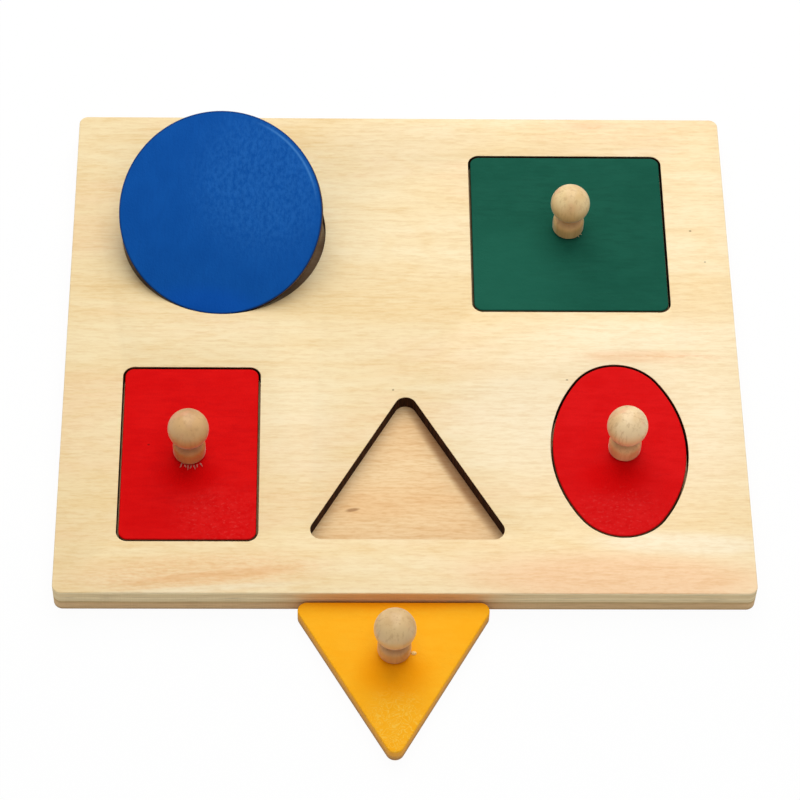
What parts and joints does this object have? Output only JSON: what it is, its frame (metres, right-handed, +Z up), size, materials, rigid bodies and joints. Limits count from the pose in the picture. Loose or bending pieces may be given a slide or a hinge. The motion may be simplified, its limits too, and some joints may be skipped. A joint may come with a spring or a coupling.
{
  "type": "peg puzzle",
  "caption": "Wooden peg puzzle: flat board with round, square, rectangular, triangular and oval cut-outs, and a painted lift-out piece with a turned knob for each.",
  "frame": {"origin": "middle of the board's underside, in the plane of the table", "axes": "+X to the right along the board's width, +Y away from the side where the loose triangle lies, +Z up"},
  "size_m": [0.3, 0.3326, 0.0615],
  "materials": {
    "top_ply": "sanded pale ply, clear satin lacquer",
    "floor_ply": "sanded ply, slightly pinker and darker",
    "blue_paint": "blue satin paint on ply",
    "green_paint": "dark green satin paint on ply",
    "red_paint": "red satin paint on ply",
    "yellow_paint": "warm yellow satin paint on ply",
    "turned_wood": "turned pale hardwood, clear satin lacquer"
  },
  "bodies": {
    "board": {"frame_plate": "top_ply", "base_plate": "floor_ply"},
    "circle": {"circle_piece": "blue_paint", "circle_knob": "turned_wood"},
    "square": {"square_piece": "green_paint", "square_knob": "turned_wood"},
    "rectangle": {"rectangle_piece": "red_paint", "rectangle_knob": "turned_wood"},
    "triangle": {"triangle_piece": "yellow_paint", "triangle_knob": "turned_wood"},
    "oval": {"oval_piece": "red_paint", "oval_knob": "turned_wood"}
  },
  "joints": [
    {"name": "circle_lift", "type": "slide", "parent": "board", "child": "circle", "axis": [0, 0, 1], "range_m": [0, 0.05]},
    {"name": "square_lift", "type": "slide", "parent": "board", "child": "square", "axis": [0, 0, 1], "range_m": [0, 0.05]},
    {"name": "rectangle_lift", "type": "slide", "parent": "board", "child": "rectangle", "axis": [0, 0, 1], "range_m": [0, 0.05]},
    {"name": "triangle_lift", "type": "slide", "parent": "board", "child": "triangle", "axis": [0, 0, 1], "range_m": [0, 0.05]},
    {"name": "oval_lift", "type": "slide", "parent": "board", "child": "oval", "axis": [0, 0, 1], "range_m": [0, 0.05]}
  ]
}
